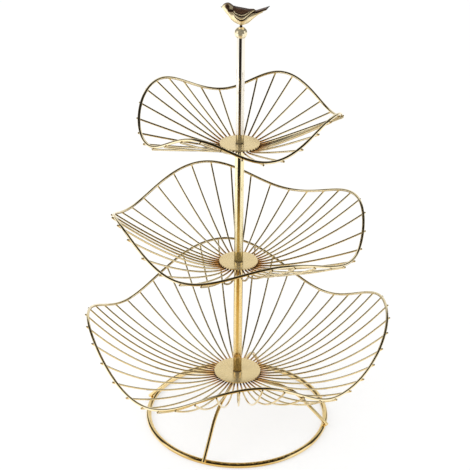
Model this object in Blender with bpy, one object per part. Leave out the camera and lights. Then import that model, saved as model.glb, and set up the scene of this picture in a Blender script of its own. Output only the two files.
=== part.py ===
# Three tier wire fruit basket with a bird finial
# Metres, +Z up, origin on the floor under the centre of the base ring

import math

import bmesh
import bpy
from mathutils import Vector

# Unit and clearance
MM = 0.001
FIT_GAP = 0.3 * MM

# Base ring and legs
BASE_RING_RADIUS = 100 * MM
BASE_RING_WIRE_RADIUS = 3 * MM
LEG_WIRE_RADIUS = 2 * MM
LEG_BEND_START = 45 * MM
LEG_BEND_END = 78 * MM
LEG_TIP_LENGTH = 2.2 * MM
LEG_DROOP_DEGREES = 6.8
LEG_SLOPE_DEGREES = 45
LEG_DIRECTION_DEGREES = {"leg_front": 250, "leg_right": 345, "leg_back": 75, "leg_left": 165}

# Hub and bolt under the bottom tier
HUB_RADIUS = 7 * MM
HUB_HEIGHT = 10 * MM
BOLT_HEAD_RADIUS = 4.6 * MM
BOLT_HEAD_HEIGHT = 3.5 * MM

# Pole, a stack of three tubes
LOWER_POLE_RADIUS = 4.75 * MM
MIDDLE_POLE_RADIUS = 4.75 * MM
UPPER_POLE_RADIUS = 4.25 * MM
LOWER_POLE_LENGTH = 135.8 * MM
MIDDLE_POLE_LENGTH = 132.9 * MM
UPPER_POLE_LENGTH = 110.3 * MM
TUBE_WALL = 0.8 * MM
INSERT_LENGTH = 14 * MM
STUD_REACH = 12 * MM
LARGE_STUD_RADIUS = 2.5 * MM
SMALL_STUD_RADIUS = 2 * MM
WASHER_THICKNESS = 0.8 * MM
WASHER_OVERHANG = 0.35 * MM
WASHER_SEAT_DEPTH = 0.3 * MM

# Wire and plate stock shared by the three tiers
PLATE_THICKNESS = 1.5 * MM
PLATE_EDGE_CHAMFER = 0.4 * MM
SPOKE_WIRE_RADIUS = 1 * MM
WELD_RING_WIRE_RADIUS = 1.25 * MM
WELD_RING_INSET = 6.5 * MM
SPOKE_TIP_LENGTH = 2 * MM
RIM_WIRE_RADIUS = 1.5 * MM

# Height of the bottom plate's upper face, which sets the stack above the floor
BOTTOM_PLATE_LEVEL = 59.2 * MM

# Bottom tier. The radii, heights and turns of its rim run hump, dip, hump, dip and so on round it
BOTTOM_PLATE_RADIUS = 25.7 * MM
BOTTOM_RIM_RADII = (162.8 * MM, 155.3 * MM) * 4
BOTTOM_RIM_HEIGHTS = (
    78.2 * MM, 36.2 * MM, 82.7 * MM, 39.3 * MM, 78.2 * MM, 33.3 * MM, 82.7 * MM, 44.3 * MM,
)
BOTTOM_RIM_DEGREES = (7.4, 49.6, 96.1, 144.4, 186.3, 230.9, 276.8, 311.9)
BOTTOM_SPOKE_COUNT = 46
BOTTOM_SPOKE_DEGREES = 51.5
BOTTOM_SPOKE_POWER = 2.0
BOTTOM_SPOKE_STEPS = 5

# Middle tier
MIDDLE_PLATE_RADIUS = 20.7 * MM
MIDDLE_RIM_RADII = (131.4 * MM, 129.4 * MM) * 4
MIDDLE_RIM_HEIGHTS = (
    59.7 * MM, 30.9 * MM, 60.1 * MM, 35.9 * MM, 68.3 * MM, 36 * MM, 58.8 * MM, 32.3 * MM,
)
MIDDLE_RIM_DEGREES = (15.2, 64.4, 109, 153.1, 202.3, 244.1, 286.9, 335.3)
MIDDLE_SPOKE_COUNT = 36
MIDDLE_SPOKE_DEGREES = 174
MIDDLE_SPOKE_POWER = 1.45
MIDDLE_SPOKE_STEPS = 4

# Top tier
TOP_PLATE_RADIUS = 20.7 * MM
TOP_RIM_RADII = (102 * MM,) * 8
TOP_RIM_HEIGHTS = (
    43.8 * MM, 21.2 * MM, 47.3 * MM, 16.6 * MM, 40.7 * MM, 20.8 * MM, 47.5 * MM, 20.1 * MM,
)
TOP_RIM_DEGREES = (63.2, 100.6, 146.8, 207, 246.8, 286.4, 331, 381.7)
TOP_SPOKE_COUNT = 32
TOP_SPOKE_DEGREES = 192.4
TOP_SPOKE_POWER = 1.12
TOP_SPOKE_STEPS = 3

# Finial
BALL_RADIUS = 6.4 * MM
BALL_SOCKET_DEPTH = 6 * MM
PERCH_PEG_RADIUS = 1.5 * MM
PERCH_PEG_DEPTH = 4 * MM
PERCH_COLLAR_RADIUS = 2.6 * MM
PERCH_COLLAR_HEIGHT = 1.6 * MM
PERCH_COLLAR_SINK = 3 * MM
BIRD_LENGTH = 48.2 * MM
BIRD_HEIGHT = 22.4 * MM
BIRD_WIDTH = 15 * MM
WING_LENGTH = 21 * MM
WING_HEIGHT = 10 * MM
WING_THICKNESS = 5 * MM
WING_TILT_DEGREES = 14

# Bird sections from the beak to the tail, as shares of its length, height, height and width
BIRD_SECTION_SHARES = (
    (0.0, 0.79, 0.81, 0.03),
    (0.05, 0.745, 0.845, 0.10),
    (0.09, 0.67, 0.93, 0.32),
    (0.15, 0.48, 1.0, 0.52),
    (0.216, 0.27, 0.985, 0.62),
    (0.278, 0.13, 0.87, 0.78),
    (0.413, 0.0, 0.80, 1.0),
    (0.558, 0.09, 0.74, 0.9),
    (0.683, 0.36, 0.675, 0.62),
    (0.786, 0.50, 0.68, 0.46),
    (0.925, 0.60, 0.78, 0.50),
    (1.0, 0.76, 0.83, 0.52),
)
# Where the perch stands along the bird, and the wing's middle along, up and across it
PERCH_SHARE = 0.413
WING_SHARES = (0.455, 0.47, 0.40)

# Facets
ROUND_SIDES = 16
PLATE_SIDES = 40
BASE_RING_STEPS = 72
BASE_RING_SIDES = 8
RIM_STEPS = 60
RIM_SIDES = 6
SPOKE_SIDES = 5
WELD_RING_STEPS = 36
WELD_RING_SIDES = 6
LEG_BEND_STEPS = 5
BIRD_SIDES = 12
LEG_SIDES = 6
BOLT_HEAD_SIDES = 6
SMOOTH_ANGLE = math.radians(40)
SLOPE_ROUNDS = 8

# Finishes, each a colour, a roughness and a metallic value
POLISHED = ((0.78, 0.52, 0.16), 0.22, 1.0)
SATIN = ((0.80, 0.63, 0.36), 0.38, 1.0)
WIRE_GOLD = ((0.72, 0.52, 0.22), 0.28, 1.0)
STEEL = ((0.55, 0.55, 0.56), 0.35, 1.0)
RUBBER = ((0.03, 0.03, 0.03), 0.7, 0.0)

# Stack levels, each worked out from the one below it
HUB_TOP = BOTTOM_PLATE_LEVEL - PLATE_THICKNESS - FIT_GAP
HUB_BOTTOM = HUB_TOP - HUB_HEIGHT
POLE_SEAT = FIT_GAP + WASHER_THICKNESS + FIT_GAP - WASHER_SEAT_DEPTH
PLATE_STEP = FIT_GAP + PLATE_THICKNESS
LOWER_POLE_FOOT = BOTTOM_PLATE_LEVEL + POLE_SEAT
LOWER_POLE_HEAD = LOWER_POLE_FOOT + LOWER_POLE_LENGTH
MIDDLE_PLATE_LEVEL = LOWER_POLE_HEAD + PLATE_STEP
MIDDLE_POLE_FOOT = MIDDLE_PLATE_LEVEL + POLE_SEAT
MIDDLE_POLE_HEAD = MIDDLE_POLE_FOOT + MIDDLE_POLE_LENGTH
TOP_PLATE_LEVEL = MIDDLE_POLE_HEAD + PLATE_STEP
UPPER_POLE_FOOT = TOP_PLATE_LEVEL + POLE_SEAT
UPPER_POLE_HEAD = UPPER_POLE_FOOT + UPPER_POLE_LENGTH
BALL_FLAT_LEVEL = UPPER_POLE_HEAD + FIT_GAP
BALL_CENTRE = BALL_FLAT_LEVEL + math.sqrt(BALL_RADIUS ** 2 - UPPER_POLE_RADIUS ** 2)
BALL_TOP = BALL_CENTRE + BALL_RADIUS

# How far a spoke's centre lies below the face of its plate
SPOKE_DROP = PLATE_THICKNESS + FIT_GAP + WELD_RING_WIRE_RADIUS
# How far a leg's centre lies below the face of the bottom plate, clear of the wires that turn over it
LEG_DROP = SPOKE_DROP + WELD_RING_WIRE_RADIUS + FIT_GAP + LEG_WIRE_RADIUS


def clear_scene():
    for item in list(bpy.data.objects):
        bpy.data.objects.remove(item)


def material(name, colour, roughness, metallic):
    """A Principled material of one sub-part."""
    made = bpy.data.materials.new(name)
    made.use_nodes = True
    shader = made.node_tree.nodes["Principled BSDF"]
    shader.inputs["Base Color"].default_value = (*colour, 1)
    shader.inputs["Roughness"].default_value = roughness
    shader.inputs["Metallic"].default_value = metallic
    made.diffuse_color = (*colour, 1)
    return made


def make_object(name, points, faces, finish, smooth=True):
    """A closed mesh object from points and faces, with its faces pointing out."""
    mesh = bpy.data.meshes.new(name)
    mesh.from_pydata([tuple(point) for point in points], [], faces)
    work = bmesh.new()
    work.from_mesh(mesh)
    bmesh.ops.recalc_face_normals(work, faces=work.faces)
    work.to_mesh(mesh)
    work.free()
    if smooth:
        mesh.shade_smooth()
        mesh.set_sharp_from_angle(angle=SMOOTH_ANGLE)
    mesh.materials.append(material(name + "_finish", *finish))
    made = bpy.data.objects.new(name, mesh)
    bpy.context.scene.collection.objects.link(made)
    return made


def as_tool(made):
    """A cutter or a piece that a Boolean takes in, which isn't a sub-part itself."""
    made.hide_render = True
    made.display_type = "WIRE"
    return made


def add_boolean(target, tool, operation):
    step = target.modifiers.new(tool.name, "BOOLEAN")
    step.operation = operation
    step.object = tool
    step.solver = "EXACT"


def polar(radius, turn, height):
    return Vector((radius * math.cos(turn), radius * math.sin(turn), height))


def to_flat(radius, sides):
    """How far the flats of a faceted round are from its middle, when its corners are at the radius."""
    return radius * math.cos(math.pi / sides)


def lathe(name, outline, sides, finish, start_turn=0.0, smooth=True):
    """Turn a closed outline of (radius, height) about Z. Points at radius zero meet on the axis."""
    points = []
    rings = []
    for radius, height in outline:
        if radius == 0:
            rings.append([len(points)] * sides)
            points.append(Vector((0, 0, height)))
            continue
        rings.append(list(range(len(points), len(points) + sides)))
        points += [polar(radius, start_turn + math.tau * step / sides, height) for step in range(sides)]
    faces = []
    for low, high in zip(rings, rings[1:] + rings[:1]):
        for step in range(sides):
            after = (step + 1) % sides
            corners = [low[step], low[after], high[after], high[step]]
            corners = list(dict.fromkeys(corners))
            if len(corners) > 2:
                faces.append(corners)
    return make_object(name, points, faces, finish, smooth)


def tube_outline(outer, inner, foot, head):
    return ((outer, foot), (outer, head), (inner, head), (inner, foot))


def rod_outline(radius, foot, head):
    return ((0, foot), (radius, foot), (radius, head), (0, head))


def sweep(path, sideways, radius, sides, closed, start_angle=0.0):
    """Points and faces of a round wire along a path. Sideways gives a direction across it at each point."""
    points = []
    count = len(path)
    for index, centre in enumerate(path):
        before = path[index - 1] if closed or index > 0 else centre
        after = path[(index + 1) % count] if closed or index < count - 1 else centre
        tangent = (after - before).normalized()
        across = sideways[index] - tangent * sideways[index].dot(tangent)
        across.normalize()
        upward = tangent.cross(across)
        for side in range(sides):
            angle = start_angle + math.tau * side / sides
            points.append(centre + radius * (across * math.cos(angle) + upward * math.sin(angle)))
    faces = []
    for index in range(count if closed else count - 1):
        here = index * sides
        there = (index + 1) % count * sides
        for side in range(sides):
            after = (side + 1) % sides
            faces.append([here + side, here + after, there + after, there + side])
    if not closed:
        faces.append(list(range(sides)))
        faces.append(list(range((count - 1) * sides, count * sides)))
    return points, faces


def ring_sweep(path, radius, sides, start_angle=0.0):
    """A closed wire round the Z axis."""
    outward = [Vector((point.x, point.y, 0)).normalized() for point in path]
    return sweep(path, outward, radius, sides, True, start_angle)


def flat_wire(profile, turn, radius, sides):
    """A wire that stays in the upright plane at one turn about Z. The profile is (radius, height)."""
    path = [polar(reach, turn, height) for reach, height in profile]
    across = Vector((-math.sin(turn), math.cos(turn), 0))
    return sweep(path, [across] * len(path), radius, sides, False)


def wave(values, turns, turn):
    """Ease from each value to the next one round the circle, each value at its own turn."""
    index = min(range(len(turns)), key=lambda place: (turn - turns[place]) % math.tau)
    following = (index + 1) % len(turns)
    share = (turn - turns[index]) % math.tau / ((turns[following] - turns[index]) % math.tau)
    ease = (1 - math.cos(math.pi * share)) / 2
    return values[index] * (1 - ease) + values[following] * ease


def leg_profile():
    """From the hub a leg droops a little, bends down and lies over the base ring, past its top."""
    droop = math.tan(math.radians(LEG_DROOP_DEGREES))
    slope = math.radians(LEG_SLOPE_DEGREES)
    start = Vector((HUB_RADIUS + FIT_GAP, BOTTOM_PLATE_LEVEL - LEG_DROP))
    ring_level = to_flat(BASE_RING_WIRE_RADIUS, BASE_RING_SIDES)
    reach = ring_level + FIT_GAP + to_flat(LEG_WIRE_RADIUS, LEG_SIDES)
    touch = Vector((BASE_RING_RADIUS + reach * math.sin(slope), ring_level + reach * math.cos(slope)))
    fall = math.tan(slope)
    meet = (touch.y + touch.x * fall - start.y - start.x * droop) / (fall - droop)
    corner = Vector((meet, start.y - (meet - start.x) * droop))
    bend_start = Vector((LEG_BEND_START, start.y - (LEG_BEND_START - start.x) * droop))
    bend_end = Vector((LEG_BEND_END, touch.y + (touch.x - LEG_BEND_END) * fall))
    profile = [start]
    for step in range(LEG_BEND_STEPS + 1):
        share = step / LEG_BEND_STEPS
        first = bend_start.lerp(corner, share)
        second = corner.lerp(bend_end, share)
        profile.append(first.lerp(second, share))
    profile.append(touch + LEG_TIP_LENGTH * Vector((math.cos(slope), -math.sin(slope))))
    return profile


def build_base():
    """The ring on the floor, four legs, the hub they are welded to and the bolt through it."""
    turns = [math.tau * step / BASE_RING_STEPS for step in range(BASE_RING_STEPS)]
    flat_down = math.pi / BASE_RING_SIDES
    level = to_flat(BASE_RING_WIRE_RADIUS, BASE_RING_SIDES)
    path = [polar(BASE_RING_RADIUS, turn, level) for turn in turns]
    make_object("base_ring", *ring_sweep(path, BASE_RING_WIRE_RADIUS, BASE_RING_SIDES, flat_down), POLISHED)
    for name, degrees in LEG_DIRECTION_DEGREES.items():
        wire = flat_wire(leg_profile(), math.radians(degrees), LEG_WIRE_RADIUS, LEG_SIDES)
        make_object(name, *wire, POLISHED)
    bore = LARGE_STUD_RADIUS + FIT_GAP
    lathe("base_hub", tube_outline(HUB_RADIUS, bore, HUB_BOTTOM, HUB_TOP), ROUND_SIDES, POLISHED)
    head_top = HUB_BOTTOM - FIT_GAP
    head_bottom = head_top - BOLT_HEAD_HEIGHT
    bolt_top = LOWER_POLE_FOOT + STUD_REACH
    bolt = lathe("base_bolt", rod_outline(LARGE_STUD_RADIUS, head_bottom, bolt_top), ROUND_SIDES, STEEL)
    head = lathe("base_bolt_head", rod_outline(BOLT_HEAD_RADIUS, head_bottom, head_top), BOLT_HEAD_SIDES,
                 STEEL, smooth=False)
    add_boolean(bolt, as_tool(head), "UNION")


def build_pole(name, radius, foot, head, foot_stud, head_stud):
    """One tube of the pole with the threaded insert in each of its ends."""
    lathe(name, tube_outline(radius, radius - TUBE_WALL, foot, head), ROUND_SIDES, POLISHED)
    plug = radius - TUBE_WALL - FIT_GAP
    lathe(name + "_foot_insert", tube_outline(plug, foot_stud + FIT_GAP, foot, foot + INSERT_LENGTH),
          ROUND_SIDES, STEEL)
    lathe(name + "_head_insert", tube_outline(plug, head_stud + FIT_GAP, head - INSERT_LENGTH, head),
          ROUND_SIDES, STEEL)


def build_washer(name, pole_radius, stud_radius, plate_level):
    outer = pole_radius + WASHER_OVERHANG
    foot = plate_level - WASHER_SEAT_DEPTH + FIT_GAP
    outline = tube_outline(outer, stud_radius + FIT_GAP, foot, foot + WASHER_THICKNESS)
    lathe(name, outline, ROUND_SIDES, RUBBER)


def build_stud(name, radius, low, high):
    """A threaded stud that reaches into the inserts below and above a joint of the pole."""
    lathe(name, rod_outline(radius, low, high), ROUND_SIDES, STEEL)


def rim_crossing(rim_path, turn):
    """Where the rim crosses the upright plane at one turn: its radius, its height and its direction."""
    step = int(turn % math.tau / math.tau * len(rim_path))
    low = rim_path[step]
    high = rim_path[(step + 1) % len(rim_path)]
    across = Vector((-math.sin(turn), math.cos(turn), 0))
    share = low.dot(across) / (low.dot(across) - high.dot(across))
    point = low.lerp(high, share)
    return math.hypot(point.x, point.y), point.z, (high - low).normalized()


def spoke_profile(plate_radius, level, rim_path, turn, power, steps):
    """A spoke from the weld ring under the plate, out and up to the rim, which lies on it, and past it."""
    start = Vector((plate_radius - WELD_RING_INSET, level))
    lift = Vector((plate_radius, level))
    rim_radius, rim_height, rim_direction = rim_crossing(rim_path, turn)
    rim = Vector((rim_radius, rim_height))
    clear = RIM_WIRE_RADIUS + FIT_GAP + SPOKE_WIRE_RADIUS
    end = rim.copy()
    for settle in range(SLOPE_ROUNDS):
        slope = math.atan(power * (end.y - lift.y) / (end.x - lift.x))
        along = polar(math.cos(slope), turn, math.sin(slope))
        below = polar(math.sin(slope), turn, -math.cos(slope))
        apart = along.cross(rim_direction).normalized()
        end = rim + clear / abs(apart.dot(below)) * Vector((math.sin(slope), -math.cos(slope)))
    profile = [start, lift]
    for step in range(1, steps + 1):
        share = step / steps
        height = lift.y + (end.y - lift.y) * share ** power
        profile.append(Vector((lift.x + (end.x - lift.x) * share, height)))
    profile.append(end + SPOKE_TIP_LENGTH * Vector((math.cos(slope), math.sin(slope))))
    return profile


def build_tier(name, level, plate_radius, pole_radius, bore, radii, heights, degrees,
               count, spoke_degrees, power, steps):
    """One bowl: its plate with a seat for the washer, the spokes on their weld ring, and the waved rim."""
    pivot = bpy.data.objects.new(name + "_pivot", None)
    pivot.location = (0, 0, level)
    bpy.context.scene.collection.objects.link(pivot)

    rim_turns = [math.tau * step / RIM_STEPS for step in range(RIM_STEPS)]
    bends = [math.radians(angle) for angle in degrees]
    rim_path = [
        polar(wave(radii, bends, turn), turn, wave(heights, bends, turn))
        for turn in rim_turns
    ]
    rim = make_object(name + "_rim", *ring_sweep(rim_path, RIM_WIRE_RADIUS, RIM_SIDES), WIRE_GOLD)

    edge = plate_radius - PLATE_EDGE_CHAMFER
    seat = pole_radius + WASHER_OVERHANG + FIT_GAP
    outline = (
        (plate_radius, -PLATE_THICKNESS),
        (plate_radius, -PLATE_EDGE_CHAMFER),
        (edge, 0),
        (seat, 0),
        (seat, -WASHER_SEAT_DEPTH),
        (bore, -WASHER_SEAT_DEPTH),
        (bore, -PLATE_THICKNESS),
    )
    plate = lathe(name + "_plate", outline, PLATE_SIDES, SATIN)

    ring_radius = plate_radius - WELD_RING_INSET
    ring_path = [
        polar(ring_radius, math.tau * step / WELD_RING_STEPS, -SPOKE_DROP)
        for step in range(WELD_RING_STEPS)
    ]
    weld_ring = ring_sweep(ring_path, WELD_RING_WIRE_RADIUS, WELD_RING_SIDES)
    wires = make_object(name + "_wires", *weld_ring, WIRE_GOLD)
    points = []
    faces = []
    for index in range(count):
        turn = math.radians(spoke_degrees) - math.tau * index / count
        profile = spoke_profile(plate_radius, -SPOKE_DROP, rim_path, turn, power, steps)
        wire_points, wire_faces = flat_wire(profile, turn, SPOKE_WIRE_RADIUS, SPOKE_SIDES)
        faces += [[corner + len(points) for corner in face] for face in wire_faces]
        points += wire_points
    fan = as_tool(make_object(name + "_spoke_fan", points, faces, WIRE_GOLD))
    add_boolean(wires, fan, "UNION")

    for piece in (rim, plate, wires, fan):
        piece.parent = pivot


def build_ball():
    """The ball that screws on the pole, flat where it sits, with a socket above and below."""
    outline = [(0, BALL_FLAT_LEVEL - BALL_CENTRE), (UPPER_POLE_RADIUS, BALL_FLAT_LEVEL - BALL_CENTRE)]
    first = math.atan2(BALL_FLAT_LEVEL - BALL_CENTRE, UPPER_POLE_RADIUS)
    for step in range(1, BIRD_SIDES):
        angle = first + (math.pi / 2 - first) * step / BIRD_SIDES
        outline.append((BALL_RADIUS * math.cos(angle), BALL_RADIUS * math.sin(angle)))
    outline.append((0, BALL_RADIUS))
    ball = lathe("finial_ball", outline, ROUND_SIDES, POLISHED)
    ball.location.z = BALL_CENTRE
    socket_low = BALL_FLAT_LEVEL - BALL_RADIUS
    socket_high = BALL_FLAT_LEVEL + BALL_SOCKET_DEPTH
    outline = rod_outline(SMALL_STUD_RADIUS + FIT_GAP, socket_low, socket_high)
    socket = lathe("finial_ball_stud_socket", outline, ROUND_SIDES, POLISHED)
    add_boolean(ball, as_tool(socket), "DIFFERENCE")
    outline = rod_outline(PERCH_PEG_RADIUS + FIT_GAP, BALL_TOP - PERCH_PEG_DEPTH, BALL_TOP + BALL_RADIUS)
    peg_hole = lathe("finial_ball_peg_socket", outline, ROUND_SIDES, POLISHED)
    add_boolean(ball, as_tool(peg_hole), "DIFFERENCE")


def build_bird():
    """A plain small bird that looks along -X, cast with its perch collar and peg."""
    belly = BALL_TOP + PERCH_COLLAR_HEIGHT
    points = []
    for along, low, high, width in BIRD_SECTION_SHARES:
        middle = belly + BIRD_HEIGHT * (low + high) / 2
        tall = BIRD_HEIGHT * (high - low) / 2
        wide = BIRD_WIDTH * width / 2
        place = BIRD_LENGTH * (along - PERCH_SHARE)
        for side in range(BIRD_SIDES):
            angle = math.tau * side / BIRD_SIDES
            points.append((place, wide * math.cos(angle), middle + tall * math.sin(angle)))
    faces = []
    last = len(BIRD_SECTION_SHARES) - 1
    for index in range(last):
        for side in range(BIRD_SIDES):
            after = (side + 1) % BIRD_SIDES
            here = index * BIRD_SIDES
            there = here + BIRD_SIDES
            faces.append([here + side, here + after, there + after, there + side])
    faces.append(list(range(BIRD_SIDES)))
    faces.append(list(range(last * BIRD_SIDES, (last + 1) * BIRD_SIDES)))
    bird = make_object("bird", points, faces, POLISHED)

    peg_foot = BALL_TOP - PERCH_PEG_DEPTH + FIT_GAP
    collar_foot = BALL_TOP + FIT_GAP
    collar_head = belly + PERCH_COLLAR_SINK
    outline = (
        (0, peg_foot),
        (PERCH_PEG_RADIUS, peg_foot),
        (PERCH_PEG_RADIUS, collar_foot),
        (PERCH_COLLAR_RADIUS, collar_foot),
        (PERCH_COLLAR_RADIUS, collar_head),
        (0, collar_head),
    )
    add_boolean(bird, as_tool(lathe("bird_perch", outline, ROUND_SIDES, POLISHED)), "UNION")

    along, up, across = WING_SHARES
    for name, hand in (("bird_left_wing", -1), ("bird_right_wing", 1)):
        wing = build_wing(name)
        wing.location.x = BIRD_LENGTH * (along - PERCH_SHARE)
        wing.location.y = hand * BIRD_WIDTH * across
        wing.location.z = belly + BIRD_HEIGHT * up
        wing.rotation_euler.y = math.radians(WING_TILT_DEGREES)
        add_boolean(bird, as_tool(wing), "UNION")


def build_wing(name):
    """A folded wing as a raised leaf, blunt in front and pointed behind."""
    steps = BIRD_SIDES // 2
    points = [(-WING_LENGTH / 2, 0, 0)]
    for step in range(1, steps):
        share = step / steps
        swell = math.sin(math.pi * share ** 0.7)
        for side in range(BIRD_SIDES):
            angle = math.tau * side / BIRD_SIDES
            points.append((
                WING_LENGTH * (share - 0.5),
                WING_THICKNESS / 2 * swell * math.cos(angle),
                WING_HEIGHT / 2 * swell * math.sin(angle),
            ))
    points.append((WING_LENGTH / 2, 0, 0))
    tail = len(points) - 1
    faces = []
    for side in range(BIRD_SIDES):
        after = (side + 1) % BIRD_SIDES
        faces.append([0, 1 + side, 1 + after])
        base = 1 + (steps - 2) * BIRD_SIDES
        faces.append([tail, base + side, base + after])
        for step in range(steps - 2):
            here = 1 + step * BIRD_SIDES
            there = here + BIRD_SIDES
            faces.append([here + side, here + after, there + after, there + side])
    return make_object(name, points, faces, POLISHED)


def build_tiers():
    large_bore = LARGE_STUD_RADIUS + FIT_GAP
    small_bore = SMALL_STUD_RADIUS + FIT_GAP
    build_tier("bottom", BOTTOM_PLATE_LEVEL, BOTTOM_PLATE_RADIUS, LOWER_POLE_RADIUS, large_bore,
               BOTTOM_RIM_RADII, BOTTOM_RIM_HEIGHTS, BOTTOM_RIM_DEGREES,
               BOTTOM_SPOKE_COUNT, BOTTOM_SPOKE_DEGREES, BOTTOM_SPOKE_POWER, BOTTOM_SPOKE_STEPS)
    build_tier("middle", MIDDLE_PLATE_LEVEL, MIDDLE_PLATE_RADIUS, MIDDLE_POLE_RADIUS, large_bore,
               MIDDLE_RIM_RADII, MIDDLE_RIM_HEIGHTS, MIDDLE_RIM_DEGREES,
               MIDDLE_SPOKE_COUNT, MIDDLE_SPOKE_DEGREES, MIDDLE_SPOKE_POWER, MIDDLE_SPOKE_STEPS)
    build_tier("top", TOP_PLATE_LEVEL, TOP_PLATE_RADIUS, UPPER_POLE_RADIUS, small_bore,
               TOP_RIM_RADII, TOP_RIM_HEIGHTS, TOP_RIM_DEGREES,
               TOP_SPOKE_COUNT, TOP_SPOKE_DEGREES, TOP_SPOKE_POWER, TOP_SPOKE_STEPS)


def build_poles():
    build_pole("lower_pole", LOWER_POLE_RADIUS, LOWER_POLE_FOOT, LOWER_POLE_HEAD,
               LARGE_STUD_RADIUS, LARGE_STUD_RADIUS)
    build_pole("middle_pole", MIDDLE_POLE_RADIUS, MIDDLE_POLE_FOOT, MIDDLE_POLE_HEAD,
               LARGE_STUD_RADIUS, SMALL_STUD_RADIUS)
    build_pole("upper_pole", UPPER_POLE_RADIUS, UPPER_POLE_FOOT, UPPER_POLE_HEAD,
               SMALL_STUD_RADIUS, SMALL_STUD_RADIUS)
    build_washer("bottom_washer", LOWER_POLE_RADIUS, LARGE_STUD_RADIUS, BOTTOM_PLATE_LEVEL)
    build_washer("middle_washer", MIDDLE_POLE_RADIUS, LARGE_STUD_RADIUS, MIDDLE_PLATE_LEVEL)
    build_washer("top_washer", UPPER_POLE_RADIUS, SMALL_STUD_RADIUS, TOP_PLATE_LEVEL)
    build_stud("middle_stud", LARGE_STUD_RADIUS, LOWER_POLE_HEAD - STUD_REACH,
               MIDDLE_POLE_FOOT + STUD_REACH)
    build_stud("top_stud", SMALL_STUD_RADIUS, MIDDLE_POLE_HEAD - STUD_REACH,
               UPPER_POLE_FOOT + STUD_REACH)
    build_stud("finial_stud", SMALL_STUD_RADIUS, UPPER_POLE_HEAD - STUD_REACH,
               BALL_FLAT_LEVEL + BALL_SOCKET_DEPTH - FIT_GAP)


clear_scene()
build_base()
build_poles()
build_tiers()
build_ball()
build_bird()
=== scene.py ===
# Looks of the three tier wire fruit basket, in metres and in the frame of the CAD

from collections import namedtuple
import math

import bmesh
import bpy
from mathutils import Matrix, Vector


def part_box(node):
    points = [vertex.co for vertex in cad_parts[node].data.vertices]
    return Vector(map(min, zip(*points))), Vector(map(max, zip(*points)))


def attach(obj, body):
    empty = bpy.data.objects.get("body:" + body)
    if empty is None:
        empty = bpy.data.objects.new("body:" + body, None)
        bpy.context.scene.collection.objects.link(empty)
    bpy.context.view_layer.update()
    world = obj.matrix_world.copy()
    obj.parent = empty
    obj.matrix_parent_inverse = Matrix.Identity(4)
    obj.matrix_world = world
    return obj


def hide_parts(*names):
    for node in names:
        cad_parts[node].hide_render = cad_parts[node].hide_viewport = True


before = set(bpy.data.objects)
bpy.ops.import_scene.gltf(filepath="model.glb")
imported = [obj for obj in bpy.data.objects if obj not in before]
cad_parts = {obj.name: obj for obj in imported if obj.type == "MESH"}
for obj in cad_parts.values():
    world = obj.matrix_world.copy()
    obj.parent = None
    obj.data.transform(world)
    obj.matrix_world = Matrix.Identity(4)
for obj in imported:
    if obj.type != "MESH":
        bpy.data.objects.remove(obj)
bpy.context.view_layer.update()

MM = 0.001

# Each bowl, in millimetres and degrees. Its rim's radii, heights and turns go from hump to dip to hump round it
Tier = namedtuple("Tier", (
    "plate_radius", "spoke_count", "spoke_degrees", "spoke_power", "rim_radii", "rim_heights", "rim_degrees",
))
TIERS = {
    "bottom": Tier(
        plate_radius=25.7,
        spoke_count=46,
        spoke_degrees=51.5,
        spoke_power=2.0,
        rim_radii=(162.8, 155.3) * 4,
        rim_heights=(78.2, 36.2, 82.7, 39.3, 78.2, 33.3, 82.7, 44.3),
        rim_degrees=(7.4, 49.6, 96.1, 144.4, 186.3, 230.9, 276.8, 311.9),
    ),
    "middle": Tier(
        plate_radius=20.7,
        spoke_count=36,
        spoke_degrees=174.0,
        spoke_power=1.45,
        rim_radii=(131.4, 129.4) * 4,
        rim_heights=(59.7, 30.9, 60.1, 35.9, 68.3, 36.0, 58.8, 32.3),
        rim_degrees=(15.2, 64.4, 109.0, 153.1, 202.3, 244.1, 286.9, 335.3),
    ),
    "top": Tier(
        plate_radius=20.7,
        spoke_count=32,
        spoke_degrees=192.4,
        spoke_power=1.12,
        rim_radii=(102.0,) * 8,
        rim_heights=(43.8, 21.2, 47.3, 16.6, 40.7, 20.8, 47.5, 20.1),
        rim_degrees=(63.2, 100.6, 146.8, 207.0, 246.8, 286.4, 331.0, 381.7),
    ),
}

RIM_RADIUS = 1.5 * MM
RIM_SIDES = 14
RIM_STEPS = 240
# The ring under each plate that its spokes are welded to: how far inside the plate's edge it lies
WELD_RING_RADIUS = 1.25 * MM
WELD_RING_INSET = 6.5 * MM
WELD_RING_SIDES = 12
WELD_RING_STEPS = 72
SPOKE_RADIUS = 1 * MM
# Spokes start this far below the plate's face, and end this far past the rim
SPOKE_DROP = 3.05 * MM
SPOKE_TIP = 1.9 * MM
SPOKE_SIDES = 10
SPOKE_STEPS = 16
# The bend at the plate's edge takes up this share of the straight on either side, in points at these shares of it
SPOKE_BEND = 0.35
SPOKE_BEND_SHARES = (0, 0.33, 0.67, 1)
# A spoke's end is found under the rim in this many rounds. The rim's direction there is read this far either side
SETTLE_ROUNDS = 8
RIM_PROBE_DEGREES = 0.5
WELD_SINK = 0.05 * MM
# A cut wire's end bulges by this share of its radius, in rings at these angles up its dome
END_BULGE = 0.35
END_DEGREES = (30, 60, 80)
END_ROUNDNESS = 0.6

PLATE_SIDES = 128
PLATE_BORE_RADIUS = 2.8 * MM
WASHER_SEAT_DEPTH = 0.3 * MM
# The tube on the plate laps over the edge of the washer's seat by this much
SEAT_LAP = 0.15 * MM
EDGE_ROUNDING = 0.12 * MM
ROUNDING_STEPS = 3

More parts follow.
